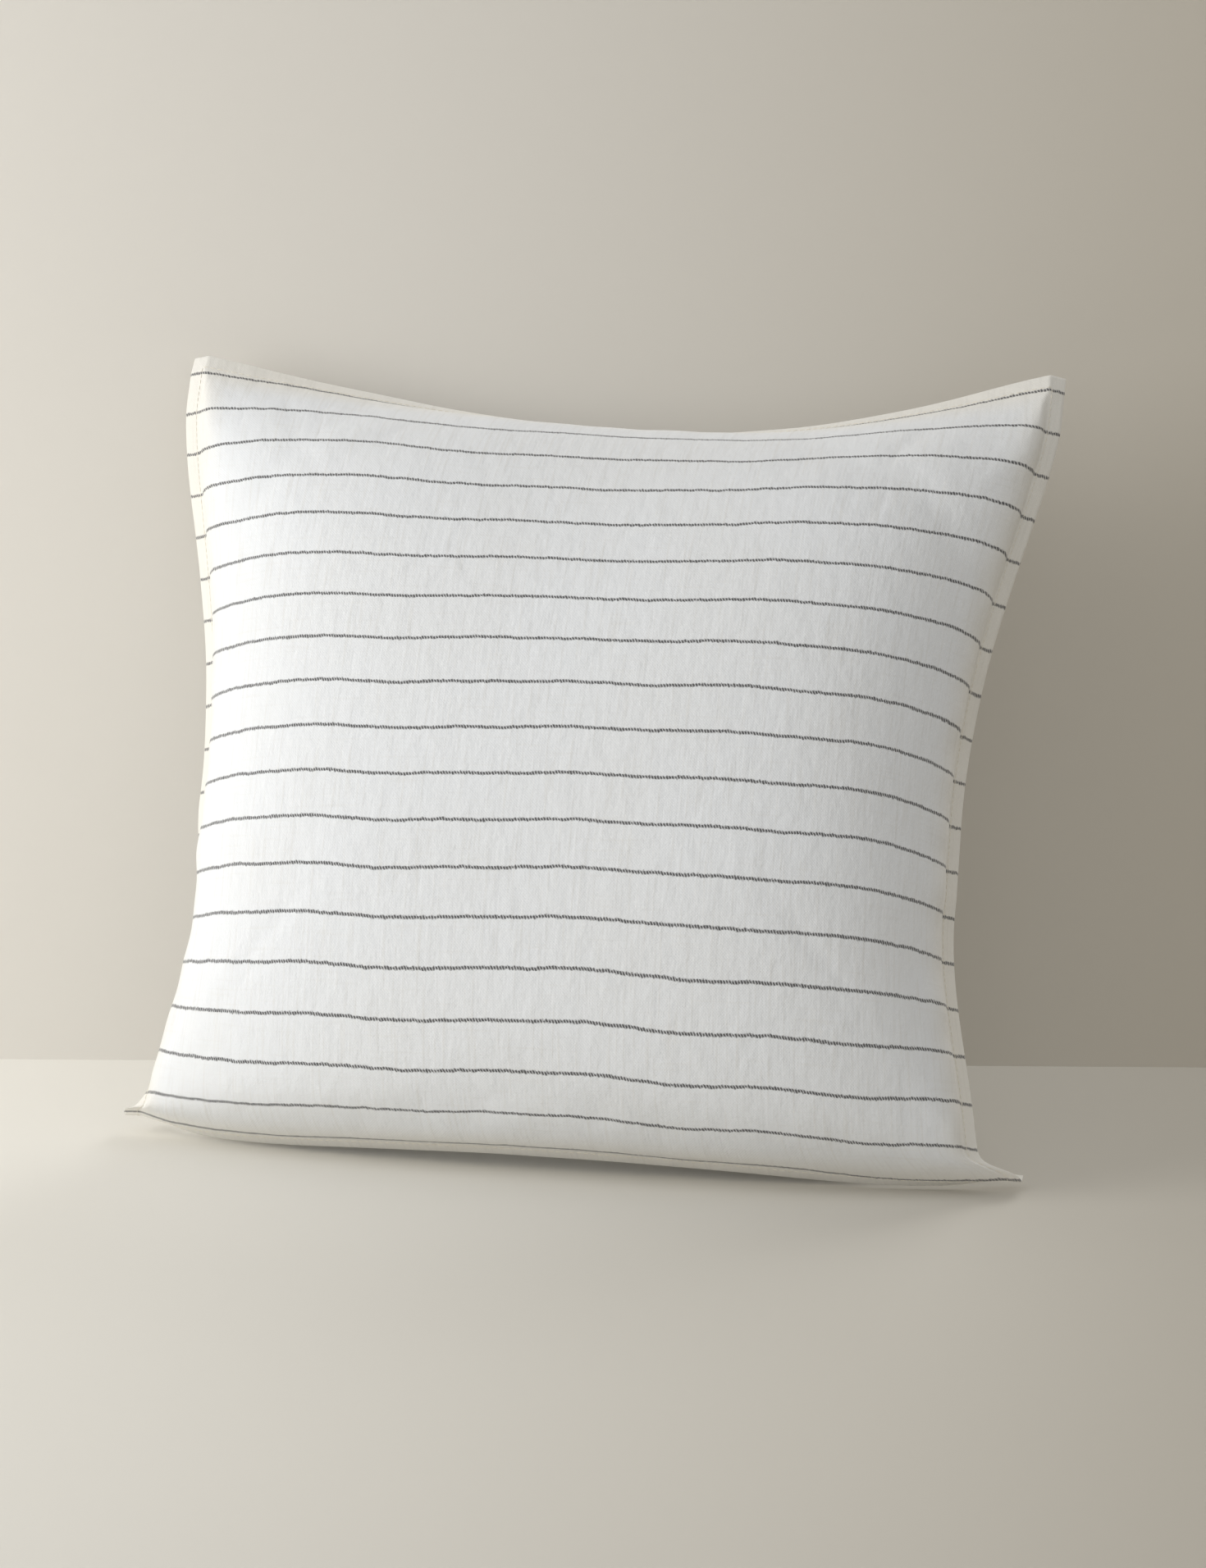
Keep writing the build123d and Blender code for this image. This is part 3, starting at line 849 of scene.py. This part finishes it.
def wound(side):
    """Path of one coil: a flattened helix along X, on the given side of the zip's line."""
    turns = 2 * COIL_HALF / COIL_PITCH
    t = np.linspace(0, 1, int(turns * COIL_STEPS))
    angle = 2 * math.pi * turns * t
    up = side * (COIL_MIDDLE + COIL_REACH * np.cos(angle))
    out = COIL_RISE * np.sin(angle) - COIL_DEPTH
    return zip_place((2 * t - 1) * COIL_HALF, up, out)


for side, name in ((1, "zip_coil_wound_upper"), (-1, "zip_coil_wound_lower")):
    path = wound(side)[None]
    radii = np.full(path.shape[1], COIL_WIRE)
    coil = strands(name, path, np.broadcast_to(ZIP_OUT, path.shape), radii, sides=5)
    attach(coil, "cover")
    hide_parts(name.replace("_wound", ""))
    print(name, round(2 * COIL_HALF / COIL_PITCH), "turns")

# Nylon: smooth, a touch translucent to the eye, ivory.
nylon, tree, shader = start_material("nylon coil", Roughness=0.35, IOR=1.53)
spot = add(tree, "ShaderNodeTexCoord").outputs["Object"]
cloudy = add(tree, "ShaderNodeTexNoise", {"Vector": spot, "Scale": 300.0})
two_tones(tree, shader, cloudy.outputs[0], "#eee7d6", "#dfd7c4")
for name in ("zip_coil_wound_upper", "zip_coil_wound_lower"):
    bpy.data.objects[name].data.materials.append(nylon)

# %% [markdown]
# ### Tape and metal
# The tape is a close herringbone of polyester, so it is drawn with two slanting beats that meet along
# its length. The slider, pull and stops are cast in zinc and plated with nickel, with softened edges.

# %% Finishes of the frame's own pieces
tape, tree, shader = start_material("woven zip tape", Roughness=0.75, IOR=1.5, Sheen_Weight=0.2)
spot = add(tree, "ShaderNodeTexCoord").outputs["Object"]
ribs = add(tree, "ShaderNodeTexWave", {"Vector": spot, "Scale": 240.0, "Distortion": 1.0},
           bands_direction="DIAGONAL")
two_tones(tree, shader, ribs.outputs[1], "#e2dac8", "#f0ebde")
raised(tree, shader, ribs.outputs[1], 0.15 * MM)

nickel, tree, shader = start_material("satin nickel", Metallic=1.0, IOR=2.2)
spot = add(tree, "ShaderNodeTexCoord").outputs["Object"]
wear = add(tree, "ShaderNodeTexNoise", {"Vector": spot, "Scale": 700.0, "Detail": 3.0})
gloss = add(tree, "ShaderNodeMapRange", {0: wear.outputs[0], 3: 0.24, 4: 0.42})
tree.links.new(gloss.outputs[0], shader.inputs["Roughness"])
two_tones(tree, shader, wear.outputs[0], "#c9c4bb", "#b3ada2")

SOFT_EDGE = 0.22 * MM
for node, finish, slot in (("zip_tape_upper", tape, "zip_tape"), ("zip_tape_lower", tape, "zip_tape"),
                           ("zip_end_stops", nickel, "zip_metal"), ("zip_slider", nickel, "zip_metal"),
                           ("zip_pull", nickel, "zip_metal")):
    shown = frame["nodes"][node]
    shown.data.materials.clear()
    shown.data.materials.append(finish)
    if finish is nickel:
        soft_edge = shown.modifiers.new("soft edge", "BEVEL")
        soft_edge.width = SOFT_EDGE
        soft_edge.segments = 2
        soft_edge.limit_method = "ANGLE"
    print(node, "finished in", finish.name)

# %% [markdown]
# ## Two blank labels
# A care label is sewn in beside the zip, and the pad has one of its own. Each is a strip of satin
# ribbon folded in half. They are left blank.

# %% Folded labels
LABEL_WIDTH = 36 * MM
LABEL_DROP = 8.5 * MM
FOLD = 0.25 * MM


def folded_label(name, node, side):
    """A strip that runs up one side, turns over a small fold and comes back, in the zip's own plane."""
    low, high = (np.array(corner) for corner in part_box(node))
    centre = (low + high) / 2 - ZIP_MIDDLE
    along = np.linspace(-LABEL_WIDTH / 2, LABEL_WIDTH / 2, 13) + centre[0]
    turn = np.linspace(0, math.pi, 9)
    straight = np.linspace(-0.5, 0.5, 7)[:-1] * LABEL_DROP
    rise = np.concatenate([straight, LABEL_DROP / 2 + FOLD * np.sin(turn), straight[::-1]])
    out = np.concatenate([np.full(6, -FOLD), -FOLD * np.cos(turn), np.full(6, FOLD)])
    flat_along, flat_rise = np.meshgrid(along, rise * side, indexing="ij")
    strip = zip_place(flat_along, centre @ ZIP_UP + flat_rise, centre @ ZIP_OUT + out[None])
    numbers = np.arange(strip[..., 0].size).reshape(strip.shape[:2])
    label = make_piece(name, strip.reshape(-1, 3), grid_cells(numbers))
    label.data.materials.append(satin)
    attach(label, "cover")
    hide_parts(node)
    print(name, "folded over", 2 * FOLD / MM, "mm")


# Satin ribbon: smooth white with a soft sheen and a faint rib across it.
satin, tree, shader = start_material("satin ribbon", Roughness=0.4, IOR=1.5, Sheen_Weight=0.3)
spot = add(tree, "ShaderNodeTexCoord").outputs["Object"]
rib = add(tree, "ShaderNodeTexWave", {"Vector": spot, "Scale": 300.0}, bands_direction="X")
two_tones(tree, shader, rib.outputs[1], "#f6f5f2", "#e9e7e2")
folded_label("care_ribbon", "care_label", -1)
folded_label("pad_ribbon", "insert_label", 1)

# %% [markdown]
# ## The room
# A pale floor and a pale wall close behind the pillow. The wall is hidden from behind and lets light
# through, so the back of the pillow can be seen and lit as well.

# %% Floor and wall
WALL_TURN = math.radians(10.8)
WALL_LEAN = math.radians(9)
WALL_Y = 0.122
ROOM_HALF = 6.0
WALL_TALL = 4.0


def falling_off(tree, shader, left, right):
    """A plain colour that darkens slowly from left to right, as the window's light falls off."""
    spot = add(tree, "ShaderNodeTexCoord").outputs["Object"]
    across = add(tree, "ShaderNodeSeparateXYZ", {0: spot}).outputs[0]
    bright_to, dark_from = -0.2, 0.7
    share = add(tree, "ShaderNodeMapRange", {0: across, 1: bright_to, 2: dark_from},
                interpolation_type="SMOOTHSTEP")
    two_tones(tree, shader, share.outputs[0], left, right)


def one_sided(tree, shader):
    """Makes a surface vanish for shadows and for eyes behind it."""
    facing = add(tree, "ShaderNodeNewGeometry").outputs["Backfacing"]
    shadow = add(tree, "ShaderNodeLightPath").outputs["Is Shadow Ray"]
    hidden = add(tree, "ShaderNodeMath", {0: facing, 1: shadow}, operation="MAXIMUM").outputs[0]
    gone = add(tree, "ShaderNodeBsdfTransparent").outputs[0]
    choice = add(tree, "ShaderNodeMixShader", {0: hidden, 1: shader.outputs[0], 2: gone})
    tree.links.new(choice.outputs[0], tree.nodes["Material Output"].inputs[0])


floor_corners = ROOM_HALF * np.array([(-1, -1, 0), (1, -1, 0), (1, 1, 0), (-1, 1, 0)])
floor = make_piece("floor", floor_corners, [(0, 1, 2, 3)], smooth=False)
floor_paint, tree, shader = start_material("pale floor", Roughness=0.8)
falling_off(tree, shader, "#e3e0d8", "#aaa395")
floor.data.materials.append(floor_paint)
wall_x = np.array([-ROOM_HALF, ROOM_HALF, ROOM_HALF, -ROOM_HALF])
wall_z = np.array([0, 0, WALL_TALL, WALL_TALL])
wall_y = WALL_Y + wall_x * math.tan(WALL_TURN) + wall_z * math.tan(WALL_LEAN)
wall = make_piece("wall", np.stack([wall_x, wall_y, wall_z], -1), [(0, 1, 2, 3)], smooth=False)
wall_paint, tree, shader = start_material("pale wall", Roughness=0.9)
falling_off(tree, shader, "#dbd7cf", "#c5bdad")
one_sided(tree, shader)
wall.data.materials.append(wall_paint)
print("wall turned", round(math.degrees(WALL_TURN), 1), "degrees, behind the pillow")

# %% [markdown]
# ## The light
# One large soft window stands to the left and in front. Weaker lamps wash the wall, hang above and
# fill from the front, and a little light comes from the whole room.
# A wide lamp behind the wall only matters when the pillow is seen from behind.

# %% Lamps
def soft_lamp(name, place, aim, size, watts):
    """A square lamp of this size in metres at place, turned to aim."""
    data = bpy.data.lights.new(name, "AREA")
    data.size = size
    data.energy = watts
    lamp = bpy.data.objects.new(name, data)
    bpy.context.scene.collection.objects.link(lamp)
    lamp.location = place
    toward = np.subtract(aim, place)
    flat_length = math.hypot(toward[0], toward[1])
    lamp.rotation_euler = (math.atan2(flat_length, -toward[2]), 0, math.atan2(-toward[0], toward[1]))
    print(name, "lamp", watts, "W")


soft_lamp("window", (-1.3, -0.85, 0.6), (0, 0, 0.2), 0.9, 10.7)
soft_lamp("wall wash", (-1.3, -0.5, 0.9), (-0.8, 0.1, 0.55), 0.5, 3.8)
soft_lamp("ceiling", (-0.5, -1.4, 2.2), (0, 0, 0.2), 1.6, 3)
soft_lamp("front fill", (0.7, -2.3, 0.5), (0, 0, 0.1), 1.6, 4)
soft_lamp("rear", (0.9, 2.2, 1.6), (0, 0, 0.15), 1.6, 22)
world = bpy.data.worlds.new("room")
world.use_nodes = True
world.node_tree.nodes["Background"].inputs[0].default_value = hue("#f1f0ee")
world.node_tree.nodes["Background"].inputs[1].default_value = 0.54
bpy.context.scene.world = world
bpy.context.scene.view_settings.view_transform = "Standard"

# %% [markdown]
# ## Tying the pieces to the frame
# Each piece rides on its body of the frame and stands for the plain solids that it replaces.

# %% Tying the pieces to the frame
for piece, slot, nodes in (
        (cover, "linen_cover", ("front_panel", "back_upper_panel", "back_lower_panel")),
        (pad, "cotton_ticking", ("insert_front_ticking", "insert_back_ticking")),
        (filling, "fibre_fill", ("insert_fill",)),
        (flange_thread, "seam_thread", ("flange_topstitch",)),
        (zip_thread, "seam_thread", ("zip_topstitch",))):
    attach(piece, "cover")
    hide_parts(*nodes)
print("padded pieces", [soft.name for soft in (cover, pad, filling)])
